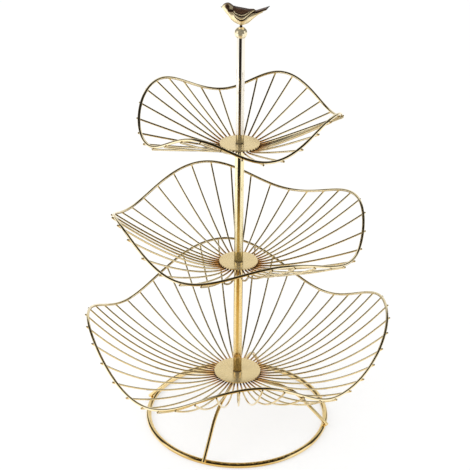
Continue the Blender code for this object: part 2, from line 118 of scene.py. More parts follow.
BASE_RING_RADIUS = 100 * MM
BASE_WIRE_RADIUS = 2.9 * MM
BASE_RING_SIDES = 24
BASE_RING_STEPS = 240
LEG_DEGREES = {"leg_front": 250, "leg_right": 345, "leg_back": 75, "leg_left": 165}
LEG_RADIUS = 1.95 * MM
LEG_SIDES = 16
LEG_START_RADIUS = 6.6 * MM
LEG_DROP = 6.6 * MM
# A leg's end lies this far inside the hub, and its tip reaches this far past where it touches the ring
LEG_SINK = 0.7 * MM
LEG_TIP = 2.1 * MM
LEG_DROOP_DEGREES = 6.8
LEG_SLOPE_DEGREES = 45
# Where a leg touches the ring, as its radius and height, and the radii where it starts and ends its bend
LEG_TOUCH = (103.395 * MM, 6.167 * MM)
LEG_BEND = (45 * MM, 78 * MM)
LEG_BEND_STEPS = 18

HUB_LIFT = 0.25 * MM
HUB_ROUNDING = 0.8 * MM
BOLT_CHAMFER_HEIGHT = 0.6 * MM
BOLT_CHAMFER_SHARE = 0.85
BOLT_GAP = 0.1 * MM
SHANK_RADIUS = 2.4 * MM
SHANK_SINK = 0.5 * MM
SHANK_SIDES = 24

# Each tube, with the washer under it and what it carries
POLES = {
    "lower": ("bottom_washer", "middle_plate"),
    "middle": ("middle_washer", "top_plate"),
    "upper": ("top_washer", "finial_ball"),
}
POLE_ON = {"bottom": "lower", "middle": "middle", "top": "upper"}
POLE_SIDES = 64
# How much a tube's weight squeezes the washer under it, and how far inside the tube the washer ends
WASHER_SQUEEZE = 0.38 * MM
WASHER_INSET = 0.3 * MM
WASHER_BORE_RADIUS = 2.6 * MM
WASHER_ROUNDING = 0.1 * MM
WASHER_SIDES = 48
BALL_STEPS = 33


def polar(radius, turn, height):
    return Vector((radius * math.cos(turn), radius * math.sin(turn), height))


def wave(values, turns, turn):
    """Ease from each value to the next one round the circle, each value at its own turn."""
    index = min(range(len(turns)), key=lambda place: (turn - turns[place]) % math.tau)
    following = (index + 1) % len(turns)
    share = (turn - turns[index]) % math.tau / ((turns[following] - turns[index]) % math.tau)
    ease = (1 - math.cos(math.pi * share)) / 2
    return values[index] * (1 - ease) + values[following] * ease


def bend(start, corner, end, share):
    """A point on the curve that leaves the start towards the corner and comes from there to the end."""
    return start.lerp(corner, share).lerp(corner.lerp(end, share), share)


def curve_through(rows, place):
    """Rows of numbers, the first of each its place. Gives the others at a place, on one smooth curve."""
    last = len(rows) - 1
    index = 0
    while index < last - 1 and rows[index + 1][0] < place:
        index += 1
    here, there = rows[index], rows[index + 1]
    before = rows[max(index - 1, 0)]
    after = rows[min(index + 2, last)]
    span = there[0] - here[0]
    share = min(max((place - here[0]) / span, 0), 1)
    square, cube = share * share, share ** 3
    made = []
    for a, b, c, d in zip(before[1:], here[1:], there[1:], after[1:]):
        slope_here = (c - a) / (there[0] - before[0]) * span
        slope_there = (d - b) / (after[0] - here[0]) * span
        made.append(b * (2 * cube - 3 * square + 1) + slope_here * (cube - 2 * square + share)
                    + c * (3 * square - 2 * cube) + slope_there * (cube - square))
    return made


def step_up(value, start, end):
    """0 before the start, 1 past the end, eased between them."""
    share = min(max((value - start) / (end - start), 0), 1)
    return share * share * (3 - 2 * share)


# Mesh makers, each gives points and faces, and the bird's also how dark each point is painted

def ring_faces(rings, sides, closed=False):
    """Faces between rings of points, one ring after the other, with both ends capped unless it is closed."""
    faces = []
    for index in range(rings if closed else rings - 1):
        here = index * sides
        there = (index + 1) % rings * sides
        for side in range(sides):
            after = (side + 1) % sides
            faces.append((here + side, here + after, there + after, there + side))
    if not closed:
        faces.append(tuple(range(sides)))
        faces.append(tuple(range((rings - 1) * sides, rings * sides)))
    return faces


def tube(path, sideways, radius, sides, closed):
    """A round wire along a path, with cut ends a little rounded unless it is closed."""
    rings = []
    count = len(path)
    for index, centre in enumerate(path):
        before = path[index - 1] if closed or index > 0 else centre
        after = path[(index + 1) % count] if closed or index < count - 1 else centre
        tangent = (after - before).normalized()
        across = (sideways[index] - tangent * sideways[index].dot(tangent)).normalized()
        rings.append((centre, tangent, across, radius))
    if not closed:
        first, last = rings[0], rings[-1]
        for degrees in END_DEGREES:
            turn = math.radians(degrees)
            reach = radius * END_BULGE * math.sin(turn)
            size = radius * math.cos(turn) ** END_ROUNDNESS
            rings.insert(0, (first[0] - first[1] * reach, *first[1:3], size))
            rings.append((last[0] + last[1] * reach, *last[1:3], size))
    points = []
    for centre, tangent, across, size in rings:
        upward = tangent.cross(across)
        for side in range(sides):
            angle = math.tau * side / sides
            points.append(centre + size * (across * math.cos(angle) + upward * math.sin(angle)))
    return points, ring_faces(len(rings), sides, closed)


def ring_tube(path, radius, sides):
    outward = [Vector((point.x, point.y, 0)).normalized() for point in path]
    return tube(path, outward, radius, sides, True)


def upright_tube(profile, turn, radius, sides):
    """A wire in the upright plane at one turn about Z. The profile is (radius, height)."""
    across = Vector((-math.sin(turn), math.cos(turn), 0))
    path = [polar(reach, turn, height) for reach, height in profile]
    return tube(path, [across] * len(path), radius, sides, False)


def lathe(outline, sides):
    """Turn a closed outline of (radius, height) about Z. Points at radius zero meet on the axis."""
    points = []
    rings = []
    for radius, height in outline:
        if radius == 0:
            rings.append([len(points)] * sides)
            points.append(Vector((0, 0, height)))
            continue
        rings.append(list(range(len(points), len(points) + sides)))
        points += [polar(radius, math.tau * step / sides, height) for step in range(sides)]
    faces = []
    for low, high in zip(rings, rings[1:] + rings[:1]):
        for step in range(sides):
            after = (step + 1) % sides
            corners = tuple(dict.fromkeys((low[step], low[after], high[after], high[step])))
            if len(corners) >= 3:
                faces.append(corners)
    return points, faces


def rounded(outline, radius):
    """The outline with each corner off the axis cut back by the radius and rounded."""
    made = []
    count = len(outline)
    for index, corner in enumerate(outline):
        corner = Vector(corner)
        before = Vector(outline[index - 1])
        after = Vector(outline[(index + 1) % count])
        if corner.x == 0:
            made.append((corner.x, corner.y))
            continue
        # No cut takes up half of an edge, so that two of them leave some of it
        cut = min(radius, (before - corner).length / 2.2, (after - corner).length / 2.2)
        start = corner + (before - corner).normalized() * cut
        end = corner + (after - corner).normalized() * cut
        for step in range(ROUNDING_STEPS + 1):
            point = bend(start, corner, end, step / ROUNDING_STEPS)
            made.append((point.x, point.y))
    return made


def joined(*parts):
    points = []
    faces = []
    for some_points, some_faces in parts:
        faces += [tuple(corner + len(points) for corner in face) for face in some_faces]
        points += some_points
    return points, faces


def joined_with_darkness(*parts):
    points, faces = joined(*(part[:2] for part in parts))
    darkness = []
    for part in parts:
        darkness += part[2]
    return points, faces, darkness


def evenly_dark(shape, share):
    points, faces = shape
    return points, faces, [share] * len(points)


def make_piece(name, shape, finish, body, replaced=(), sharp=40):
    """A piece of the object from points and faces, riding on a CAD body."""
    points, faces = shape[:2]
    mesh = bpy.data.meshes.new(name)
    mesh.from_pydata([tuple(point) for point in points], [], faces)
    if len(shape) > 2:
        darkness = mesh.attributes.new("darkness", "FLOAT", "POINT")
        darkness.data.foreach_set("value", shape[2])
    work = bmesh.new()
    work.from_mesh(mesh)
    bmesh.ops.recalc_face_normals(work, faces=work.faces)
    work.to_mesh(mesh)
    work.free()
    mesh.shade_smooth()
    mesh.set_sharp_from_angle(angle=math.radians(sharp))
    mesh.materials.append(finish)
    piece = bpy.data.objects.new(name, mesh)
    bpy.context.scene.collection.objects.link(piece)
    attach(piece, body)
    if replaced:
        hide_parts(*replaced)


# Material nodes

# The part of a noise's range that is used, since most of its values lie there
NOISE_LOW, NOISE_HIGH = 0.3, 0.7
BUMP_STRENGTH = 0.5


def start_material(name):
    made = bpy.data.materials.new(name)
    made.use_nodes = True
    tree = made.node_tree
    shader = tree.nodes["Principled BSDF"]
    place = tree.nodes.new("ShaderNodeTexCoord")
    return made, tree, shader, place.outputs["Object"]


def add_noise(tree, source, scale, detail, stretch=None):
    """Noise over the object's own coordinates, stretched along its axes if asked."""
    if stretch:
        mapping = tree.nodes.new("ShaderNodeMapping")
        mapping.inputs["Scale"].default_value = stretch
        tree.links.new(source, mapping.inputs["Vector"])
        source = mapping.outputs["Vector"]
    noise = tree.nodes.new("ShaderNodeTexNoise")
    noise.inputs["Scale"].default_value = scale
    noise.inputs["Detail"].default_value = detail
    tree.links.new(source, noise.inputs["Vector"])
    return noise.outputs["Fac"]


def map_range(tree, value, start, end, low, high, kind):
    node = tree.nodes.new("ShaderNodeMapRange")
    node.interpolation_type = kind
    node.inputs["From Min"].default_value = start
    node.inputs["From Max"].default_value = end
    node.inputs["To Min"].default_value = low
    node.inputs["To Max"].default_value = high
    tree.links.new(value, node.inputs["Value"])
    return node.outputs["Result"]


def add_range(tree, noise, low, high):
    return map_range(tree, noise, NOISE_LOW, NOISE_HIGH, low, high, "LINEAR")


def ease(tree, value, start, end, low=0.0, high=1.0):
    """Ease from low to high as the value goes from start to end."""
    return map_range(tree, value, start, end, low, high, "SMOOTHSTEP")


def add_colours(tree, noise, first, second):
    ramp = tree.nodes.new("ShaderNodeValToRGB")
    ramp.color_ramp.elements[0].position = NOISE_LOW
    ramp.color_ramp.elements[0].color = (*first, 1)
    ramp.color_ramp.elements[1].position = NOISE_HIGH
    ramp.color_ramp.elements[1].color = (*second, 1)
    tree.links.new(noise, ramp.inputs["Fac"])
    return ramp.outputs["Color"]


def add_bump(tree, shader, height, depth):
    bump = tree.nodes.new("ShaderNodeBump")
    bump.inputs["Distance"].default_value = depth
    bump.inputs["Strength"].default_value = BUMP_STRENGTH
    tree.links.new(height, bump.inputs["Height"])
    tree.links.new(bump.outputs["Normal"], shader.inputs["Normal"])


def node_math(tree, operation, first, second=None):
    node = tree.nodes.new("ShaderNodeMath")
    node.operation = operation
    for socket, value in zip(node.inputs, (first, second)):
        if isinstance(value, (int, float)):
            socket.default_value = value
        elif value is not None:
            tree.links.new(value, socket)
    return node.outputs["Value"]


def product(tree, first, second):
    return node_math(tree, "MULTIPLY", first, second)


def rest_of(tree, share):
    return node_math(tree, "SUBTRACT", 1.0, share)


def mix_colours(tree, share, first, second):
    node = tree.nodes.new("ShaderNodeMix")
    node.data_type = "RGBA"
    tree.links.new(share, node.inputs["Factor"])
    # The mix node's inputs 6 and 7 and its output 2 are its colours
    for socket, value in zip((node.inputs[6], node.inputs[7]), (first, second)):
        if isinstance(value, tuple):
            socket.default_value = (*value, 1)
        else:
            tree.links.new(value, socket)
    return node.outputs[2]


def mix_shaders(tree, share, first, second):
    node = tree.nodes.new("ShaderNodeMixShader")
    if isinstance(share, float):
        node.inputs["Fac"].default_value = share
    else:
        tree.links.new(share, node.inputs["Fac"])
    tree.links.new(first, node.inputs[1])
    tree.links.new(second, node.inputs[2])
    return node.outputs["Shader"]


def split_axes(tree, vector):
    split = tree.nodes.new("ShaderNodeSeparateXYZ")
    tree.links.new(vector, split.inputs["Vector"])
    return split.outputs["X"], split.outputs["Y"], split.outputs["Z"]


def vector_length(tree, vector):
    length = tree.nodes.new("ShaderNodeVectorMath")
    length.operation = "LENGTH"
    tree.links.new(vector, length.inputs[0])
    return length.outputs["Value"]


def reach_from_axis(tree, place):
    """How far a point is from the pole's axis."""
    x, y = split_axes(tree, place)[:2]
    flat = tree.nodes.new("ShaderNodeCombineXYZ")
    tree.links.new(x, flat.inputs["X"])
    tree.links.new(y, flat.inputs["Y"])
    return vector_length(tree, flat.outputs["Vector"])


# Materials

LIGHT_GOLD = (0.98, 0.79, 0.42)
DEEP_GOLD = (0.95, 0.71, 0.32)
LIGHT_WIRE = (0.97, 0.84, 0.56)
DEEP_WIRE = (0.94, 0.79, 0.47)
# Each pole's gold, paler the higher it is: on the middle and upper poles the paler tone is a painted highlight
POLE_TONES_PAINTED_PALER = {
    "lower": (LIGHT_GOLD, DEEP_GOLD),
    "middle": ((0.98, 0.88, 0.58), (0.96, 0.83, 0.48)),
    "upper": ((0.99, 0.94, 0.84), (0.97, 0.90, 0.76)),
}
LIGHT_BALL = (0.98, 0.88, 0.64)
DEEP_BALL = (0.96, 0.84, 0.56)
BALL_METAL = 0.75
# Past a plate's edge its wires get painted shade, dark where they run under the plate, then a painted brown
# reflection of the crowded wires: from where to where these fade
UNDER_PLATE_SHADE = (0.10, 0.06, 0.03)
UNDER_PLATE_SHADE_FADE = (-0.5 * MM, 2 * MM)
CROWDED_WIRE_REFLECTION = (0.72, 0.40, 0.14)
CROWDED_WIRE_REFLECTION_FADE = (1 * MM, 18 * MM)

LIGHT_CAST = (0.99, 0.87, 0.60)
DEEP_CAST = (0.95, 0.76, 0.42)
# The bird's browns and black: painted shade on its upper side, and dark marks elsewhere
LIGHT_SHADE_AND_MARK = (0.19, 0.095, 0.050)
DEEP_SHADE_AND_MARK = (0.060, 0.027, 0.012)
BLACK_SHADE_AND_MARK = (0.022, 0.010, 0.005)
# From which darkness to which the brown covers the gold, and then turns black
DARKENING_COVERS = (0.25, 0.60)
DARKENING_BLACKENS = (0.60, 1.0)

LIGHT_PLATE = (0.98, 0.80, 0.45)
DEEP_PLATE = (0.92, 0.72, 0.37)
PLATE_METAL = 0.82
LIGHT_STEEL = (0.60, 0.60, 0.61)
DEEP_STEEL = (0.42, 0.42, 0.43)
LIGHT_RUBBER = (0.060, 0.045, 0.028)
DEEP_RUBBER = (0.030, 0.022, 0.014)


def plated_gold(name, light, deep, roughness, bump, stretch=None, shade_radius=None):
    """Polished plating: a slow change of tone, faint marks in the gloss and a slight waviness.

    Past the given radius the wire is painted dark, as shade under the plate's edge, then painted brown, as a
    reflection of the crowded wires, and it clears over the next 18 mm outwards.
    """
    made, tree, shader, place = start_material(name)
    tone = add_noise(tree, place, scale=45, detail=3.0)
    colours = add_colours(tree, tone, deep, light)
    # Painted shade under the plate's edge, then a painted brown reflection of the crowded wires, by the distance
    # from the pole's axis
    if shade_radius:
        reach = reach_from_axis(tree, place)
        reflection_start, reflection_end = CROWDED_WIRE_REFLECTION_FADE
        shade_start, shade_end = UNDER_PLATE_SHADE_FADE
        reflection_clears = ease(tree, reach, shade_radius + reflection_start, shade_radius + reflection_end)
        shade_clears = ease(tree, reach, shade_radius + shade_start, shade_radius + shade_end)
        with_reflection = mix_colours(tree, reflection_clears, CROWDED_WIRE_REFLECTION, colours)
        colours = mix_colours(tree, shade_clears, UNDER_PLATE_SHADE, with_reflection)
    tree.links.new(colours, shader.inputs["Base Color"])
    shader.inputs["Metallic"].default_value = 1.0
    marks = add_noise(tree, place, scale=260, detail=6.0, stretch=stretch)
    tree.links.new(add_range(tree, marks, *roughness), shader.inputs["Roughness"])
    waves = add_noise(tree, place, scale=420, detail=3.0, stretch=stretch)
    add_bump(tree, shader, waves, bump)
    made.diffuse_color = (*light, 1)
    return made


def cast_with_shade_and_marks(name):
    """Cast gold, darkened by each point's darkness: painted shade on its upper side, and dark marks in the
    feathers, cheek and collar.
    """
    made, tree, shader, place = start_material(name)
    tone = add_noise(tree, place, scale=160, detail=4.0)
    bright = add_colours(tree, tone, DEEP_CAST, LIGHT_CAST)
    streaks = add_noise(tree, place, scale=700, detail=4.0, stretch=(0.5, 1, 1))
    darkened = add_colours(tree, streaks, DEEP_SHADE_AND_MARK, LIGHT_SHADE_AND_MARK)
    # The darkness of each point: painted shade on the bird's upper side, dark marks elsewhere
    darkness = tree.nodes.new("ShaderNodeAttribute")
    darkness.attribute_name = "darkness"
    deep = ease(tree, darkness.outputs["Fac"], *DARKENING_BLACKENS)
    darkened = mix_colours(tree, deep, darkened, BLACK_SHADE_AND_MARK)
    covered = ease(tree, darkness.outputs["Fac"], *DARKENING_COVERS)
    tree.links.new(mix_colours(tree, covered, bright, darkened), shader.inputs["Base Color"])
    tree.links.new(ease(tree, covered, 0.0, 1.0, low=0.75, high=0.35), shader.inputs["Metallic"])
    marks = add_range(tree, add_noise(tree, place, scale=420, detail=5.0), low=0.0, high=0.12)
    rough = node_math(tree, "ADD", marks, ease(tree, covered, 0.0, 1.0, low=0.16, high=0.30))
    tree.links.new(rough, shader.inputs["Roughness"])
    add_bump(tree, shader, add_noise(tree, place, scale=420, detail=3.0), depth=0.00003)
    made.diffuse_color = (*DEEP_CAST, 1)
    return made


def satin_plate(name):
    """A plate turned on a lathe: fine rings about the pole and a little grain over them."""
    made, tree, shader, place = start_material(name)
    line = tree.nodes.new("ShaderNodeCombineXYZ")
    tree.links.new(reach_from_axis(tree, place), line.inputs["X"])
    rings = add_noise(tree, line.outputs["Vector"], scale=2600, detail=2.0)
    grain = add_noise(tree, place, scale=1500, detail=5.0)
    mixed = product(tree, node_math(tree, "ADD", rings, grain), 0.5)
    tree.links.new(add_colours(tree, mixed, DEEP_PLATE, LIGHT_PLATE), shader.inputs["Base Color"])
    shader.inputs["Metallic"].default_value = PLATE_METAL
    tree.links.new(add_range(tree, grain, low=0.20, high=0.30), shader.inputs["Roughness"])
    add_bump(tree, shader, mixed, depth=0.00002)
    made.diffuse_color = (0.85, 0.68, 0.38, 1)
    return made


def bare_steel(name):
    made, tree, shader, place = start_material(name)
    grain = add_noise(tree, place, scale=500, detail=6.0, stretch=(1, 1, 6))
    tree.links.new(add_colours(tree, grain, DEEP_STEEL, LIGHT_STEEL), shader.inputs["Base Color"])
    shader.inputs["Metallic"].default_value = 1.0
    tree.links.new(add_range(tree, grain, low=0.25, high=0.42), shader.inputs["Roughness"])
    add_bump(tree, shader, grain, depth=0.00002)
    made.diffuse_color = (0.55, 0.55, 0.56, 1)
    return made


def black_rubber(name):
    made, tree, shader, place = start_material(name)
    grain = add_noise(tree, place, scale=1400, detail=6.0)
    tree.links.new(add_colours(tree, grain, DEEP_RUBBER, LIGHT_RUBBER), shader.inputs["Base Color"])
    tree.links.new(add_range(tree, grain, low=0.55, high=0.75), shader.inputs["Roughness"])
    add_bump(tree, shader, grain, depth=0.00004)
    made.diffuse_color = (0.03, 0.03, 0.03, 1)
    return made


rim_gold = plated_gold("gold_wire_rim", LIGHT_WIRE, DEEP_WIRE, roughness=(0.03, 0.08), bump=0.000006)
# Each tier's spokes carry painted shade and a painted brown reflection just past their plate's edge
spoke_gold = {
    name: plated_gold("gold_wire_" + name, LIGHT_WIRE, DEEP_WIRE, roughness=(0.03, 0.08), bump=0.000006,
                      shade_radius=tier.plate_radius * MM)
    for name, tier in TIERS.items()
}
# The middle and upper poles get their paler gold as a painted highlight
pole_gold = {
    part: plated_gold("polished_gold_" + part, light, deep, roughness=(0.05, 0.08), bump=0.000003,
                      stretch=(1, 1, 0.15))
    for part, (light, deep) in POLE_TONES_PAINTED_PALER.items()
}
ball_gold = plated_gold("polished_gold_ball", LIGHT_BALL, DEEP_BALL, roughness=(0.08, 0.14), bump=0.00001)
ball_gold.node_tree.nodes["Principled BSDF"].inputs["Metallic"].default_value = BALL_METAL
base_gold = plated_gold("polished_gold_base", LIGHT_GOLD, DEEP_GOLD, roughness=(0.06, 0.12), bump=0.00001)
bird_gold = cast_with_shade_and_marks("polished_gold_cast")
plate_gold = satin_plate("satin_gold_plate")
steel = bare_steel("bare_steel")
rubber = black_rubber("black_rubber")


# Tiers

def rim_at(tier, turn):
    """The centre of the rim's wire at one turn, above its plate."""
    turns = [math.radians(degrees) for degrees in tier.rim_degrees]
    return polar(wave(tier.rim_radii, turns, turn) * MM, turn, wave(tier.rim_heights, turns, turn) * MM)


def spoke_profile(tier, turn):
    """From the weld ring a spoke runs out, bends up at the plate's edge and passes under the rim."""
    power = tier.spoke_power
    start = Vector((tier.plate_radius * MM - WELD_RING_INSET, -SPOKE_DROP))
    lift = Vector((tier.plate_radius * MM, -SPOKE_DROP))
    centre = rim_at(tier, turn)
    rim = Vector((math.hypot(centre.x, centre.y), centre.z))
    aside = math.radians(RIM_PROBE_DEGREES)
    direction = (rim_at(tier, turn + aside) - rim_at(tier, turn - aside)).normalized()
    clear = RIM_RADIUS + SPOKE_RADIUS - WELD_SINK
    end = rim.copy()
    for settle in range(SETTLE_ROUNDS):
        slope = math.atan(power * (end.y - lift.y) / (end.x - lift.x))
        along = polar(math.cos(slope), turn, math.sin(slope))
        below = polar(math.sin(slope), turn, -math.cos(slope))
        apart = along.cross(direction).normalized()
        end = rim + clear / abs(apart.dot(below)) * Vector((math.sin(slope), -math.cos(slope)))
    rise = []
    for step in range(1, SPOKE_STEPS + 1):
        share = step / SPOKE_STEPS
        height = lift.y + (end.y - lift.y) * share ** power
        rise.append(Vector((lift.x + (end.x - lift.x) * share, height)))
    bend_in = lift.lerp(start, SPOKE_BEND)
    bend_out = lift.lerp(rise[0], SPOKE_BEND)
    tip = SPOKE_TIP - SPOKE_RADIUS * END_BULGE
    profile = [start]
    profile += [bend(bend_in, lift, bend_out, share) for share in SPOKE_BEND_SHARES]
    profile += rise
    profile.append(end + tip * Vector((math.cos(slope), math.sin(slope))))
    return profile


def build_tier(name, tier):
    low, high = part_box(name + "_plate")
    level = high.z
    body = name + "_tier"
    up = Vector((0, 0, level))

    path = [rim_at(tier, math.tau * step / RIM_STEPS) + up for step in range(RIM_STEPS)]
    make_piece(name + "_rim_wire", ring_tube(path, RIM_RADIUS, RIM_SIDES), rim_gold, body,
               [name + "_rim"])

    weld_radius = tier.plate_radius * MM - WELD_RING_INSET
    weld_path = [
        polar(weld_radius, math.tau * step / WELD_RING_STEPS, level - SPOKE_DROP)
        for step in range(WELD_RING_STEPS)
    ]
    parts = [ring_tube(weld_path, WELD_RING_RADIUS, WELD_RING_SIDES)]
    for index in range(tier.spoke_count):
        turn = math.radians(tier.spoke_degrees) - math.tau * index / tier.spoke_count
        profile = [(point.x, point.y + level) for point in spoke_profile(tier, turn)]
        parts.append(upright_tube(profile, turn, SPOKE_RADIUS, SPOKE_SIDES))
    make_piece(name + "_spokes", joined(*parts), spoke_gold[name], body, [name + "_wires"])

    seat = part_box(POLE_ON[name] + "_pole")[1].x - SEAT_LAP
    seat_level = level - WASHER_SEAT_DEPTH
    outline = (
        (high.x, low.z),
        (high.x, level),
        (seat, level),
        (seat, seat_level),
        (PLATE_BORE_RADIUS, seat_level),
        (PLATE_BORE_RADIUS, low.z),
    )
    make_piece(name + "_plate_disc", lathe(rounded(outline, EDGE_ROUNDING), PLATE_SIDES), plate_gold, body,
               [name + "_plate"])


# Stand

def leg_profile(level):
    """From the hub a leg droops a little, bends down and lies over the base ring, past its top."""
    droop = math.tan(math.radians(LEG_DROOP_DEGREES))
    start = Vector((LEG_START_RADIUS, level - LEG_DROP + LEG_SINK * droop))
    touch = Vector(LEG_TOUCH)
    bend_from, bend_to = LEG_BEND
    # The corner is where the drooping line meets the one that falls at 45 degrees
    corner_x = (touch.y + touch.x - start.y - start.x * droop) / (1 - droop)
    corner = Vector((corner_x, start.y - (corner_x - start.x) * droop))
    bend_start = Vector((bend_from, start.y - (bend_from - start.x) * droop))
    bend_end = Vector((bend_to, touch.y + touch.x - bend_to))
    profile = [start]
    for step in range(LEG_BEND_STEPS + 1):
        profile.append(bend(bend_start, corner, bend_end, step / LEG_BEND_STEPS))
    slope = math.radians(LEG_SLOPE_DEGREES)
    tip = LEG_TIP - LEG_RADIUS * END_BULGE
    profile.append(touch + tip * Vector((math.cos(slope), -math.sin(slope))))
    return profile


def build_base():
    path = [
        polar(BASE_RING_RADIUS, math.tau * step / BASE_RING_STEPS, BASE_WIRE_RADIUS)
        for step in range(BASE_RING_STEPS)
    ]
    make_piece("base_ring_wire", ring_tube(path, BASE_WIRE_RADIUS, BASE_RING_SIDES), base_gold, "stand",
               ["base_ring"])

    profile = leg_profile(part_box("bottom_plate")[1].z)
    for name, degrees in LEG_DEGREES.items():
        make_piece(name + "_wire", upright_tube(profile, math.radians(degrees), LEG_RADIUS, LEG_SIDES),
                   base_gold, "stand", [name])

    hub_low, hub_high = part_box("base_hub")
    hub_top = hub_high.z + HUB_LIFT
    outline = ((0, hub_low.z), (hub_high.x, hub_low.z), (hub_high.x, hub_top), (0, hub_top))
    make_piece("base_boss", lathe(rounded(outline, HUB_ROUNDING), POLE_SIDES), base_gold, "stand",
               ["base_hub"])

    bolt_low, bolt_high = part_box("base_bolt")
    across = bolt_high.x
    head_top = hub_low.z - BOLT_GAP
    head = (
        (0, bolt_low.z),
        (across * BOLT_CHAMFER_SHARE, bolt_low.z),
        (across, bolt_low.z + BOLT_CHAMFER_HEIGHT),
        (across, head_top),
        (0, head_top),
    )
    shank_foot = hub_low.z - SHANK_SINK
    shank = ((0, shank_foot), (SHANK_RADIUS, shank_foot), (SHANK_RADIUS, bolt_high.z), (0, bolt_high.z))
    make_piece("base_bolt_hex", joined(lathe(head, 6), lathe(shank, SHANK_SIDES)), steel, "stand",
               ["base_bolt"], 25)


def build_poles():
    for part, (washer, above) in POLES.items():
        low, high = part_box(part + "_pole")
        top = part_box(above)[0].z
        foot = low.z - WASHER_SQUEEZE
        outline = ((0, foot), (high.x, foot), (high.x, top), (0, top))
        make_piece(part + "_pole_tube", lathe(rounded(outline, EDGE_ROUNDING), POLE_SIDES), pole_gold[part],
                   "stand", [part + "_pole"])
        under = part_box(washer)[0].z
        edge = high.x - WASHER_INSET
        outline = ((WASHER_BORE_RADIUS, under), (edge, under), (edge, foot), (WASHER_BORE_RADIUS, foot))
        make_piece(washer + "_ring", lathe(rounded(outline, WASHER_ROUNDING), WASHER_SIDES), rubber, "stand",
                   [washer])


def build_ball():
    low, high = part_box("finial_ball")
    radius = high.x
    centre = high.z - radius
    first = math.asin((low.z - centre) / radius)
    outline = [(0, low.z)]
    for step in range(BALL_STEPS):
        angle = first + (math.pi / 2 - first) * step / BALL_STEPS
        outline.append((radius * math.cos(angle), centre + radius * math.sin(angle)))
    outline.append((0, high.z))
    make_piece("finial_ball_round", lathe(outline, POLE_SIDES), ball_gold, "stand",
               ["finial_ball"], 60)


# Bird, in millimetres from the foot of its belly, its head towards -X

# Its body: place along X, height of its lower and upper side, and width
BODY_ROWS = (
    (-18.6, 17.0, 18.8, 1.2),
    (-17.7, 15.8, 20.0, 3.0),
    (-16.0, 13.6, 21.5, 5.4),
    (-13.2, 10.2, 22.3, 7.8),
    (-10.6, 6.4, 21.6, 8.8),
    (-8.4, 4.2, 20.0, 10.0),
    (-6.3, 2.6, 18.6, 11.8),
    (-2.5, 0.8, 17.4, 14.2),
    (1.0, 0.1, 16.7, 15.0),
    (7.0, 2.2, 15.4, 13.4),
    (13.0, 7.6, 14.2, 9.4),
    (17.5, 11.0, 14.2, 6.4),
    (21.0, 12.8, 15.2, 5.0),
)
BODY_SIDES = 72
BODY_STEPS = 6
# Where its back and crown are painted dark, as shade on its upper side, from where to where: in millimetres along
# it, and in degrees up from its widest line
BACK_ALONG = (-8.6, -7.0)
BACK_UP = (30, 44)
CROWN_ALONG = (-18.4, -17.2)
CROWN_BROWN = 0.5
CROWN_BROWN_UP = (42, 60)
CROWN_DARK_UP = (62, 80)
# The cheek patch has a middle and a size, along and up, and fades out over these shares of its size
CHEEK_DARKNESS = 0.85
CHEEK_MIDDLE = (-13.3, 28)
CHEEK_SIZE = (2.6, 34)
CHEEK_FADE = (0.65, 1.1)
# The collar lies between two places, along a line given by its first place, its angle there and its rise per
# millimetre, and fades out over these degrees off it
COLLAR_DARKNESS = 0.95
COLLAR_START = (-13.6, -12.6)
COLLAR_END = (-7.5, -6.5)
COLLAR_LINE = (-12.5, -2, 7)
COLLAR_FADE = (8, 15)
# Its wings: place along X, and the angles of the lower and the upper edge round the body, in degrees
WING_ROWS = (
    (-8.2, 34, 52),
    (-7.4, 6, 66),
    (-5.4, -10, 74),
    (-2.5, -17, 79),
    (1.0, -18, 82),
    (4.0, -6, 84),
    (7.2, 14, 86),
    (11.0, 45, 88),
    (14.5, 70, 89),
)
WING_STEPS = 66
WING_STEPS_DOWN = 90
# Over this many steps from its front and its back end a wing rises from inside the body
WING_FADES = (4, 6)
WING_SUNK = 0.4
# Its upper edge rises until this share of the way down, and its lower one falls from this share
WING_EDGES = (0.04, 0.97)
# How proud of the body it is below its upper edge and from its middle on, and its lower edge's height and fall
WING_PROUD = (0.4, 1.0)
WING_MIDDLE = 0.5
LOWER_EDGE = 1.1
LOWER_EDGE_FALL = 1.6
# Raised bands and lines across a wing: how far down it, half their width, and how high
WING_BANDS = ((0.60, 0.07, 0.55), (0.79, 0.08, 0.75))
WING_LINES = ((0.16, 0.05, 0.16), (0.3, 0.05, 0.16), (0.44, 0.05, 0.16))
# Off a band's middle its darkness begins over these shares, and at the wing's front it ends over these steps
BAND_FADES = ((0.02, 0.05), (0.05, 0.08))
FRONT_DARK = (1, 4)
# The rows of small feathers: how tall one is as a share of the wing, how long, and where they end
FEATHER_ROW = 0.11
FEATHER_LENGTH = 2.4
FEATHERS_END = 0.54
# How brown a feather is, how far down its row its dark edge lies, how much that bows, and where the edge fades
FEATHER_DARKNESS = 0.62
FEATHER_EDGE = 0.75
FEATHER_BOW = 0.3
FEATHER_FADE = (0.30, 0.12)
# Its tail: place along X, height, half its width and half its thickness
TAIL_ROWS = (
    (11.0, 11.6, 3.0, 1.7),
    (14.0, 12.8, 3.4, 1.6),
    (17.0, 13.9, 3.6, 1.4),
    (20.0, 15.0, 3.7, 1.2),
    (22.0, 15.7, 3.8, 1.1),
    (24.0, 16.4, 3.8, 1.0),
)
TAIL_SIDES = 40
# Its end: half its width and half its thickness, how steeply it rises, and how far it reaches past the last row,
# at least, in its corners and by its slant
TAIL_END_HALF = 3.9
TAIL_END_THICK = 0.6
TAIL_END_RISE = 0.42
TAIL_END_REACH = (0.8, 1.5, 1.6)
# How brown its upper side is, as painted shade, and over which shares of its half width and thickness its lines
# and that side begin
TAIL_DARKNESS = 0.66
TAIL_EDGE_LINE = (0.72, 0.92)
TAIL_MIDDLE_LINE = (0.08, 0.25)
TAIL_UPPER_SIDE = (-0.5, 0.0)
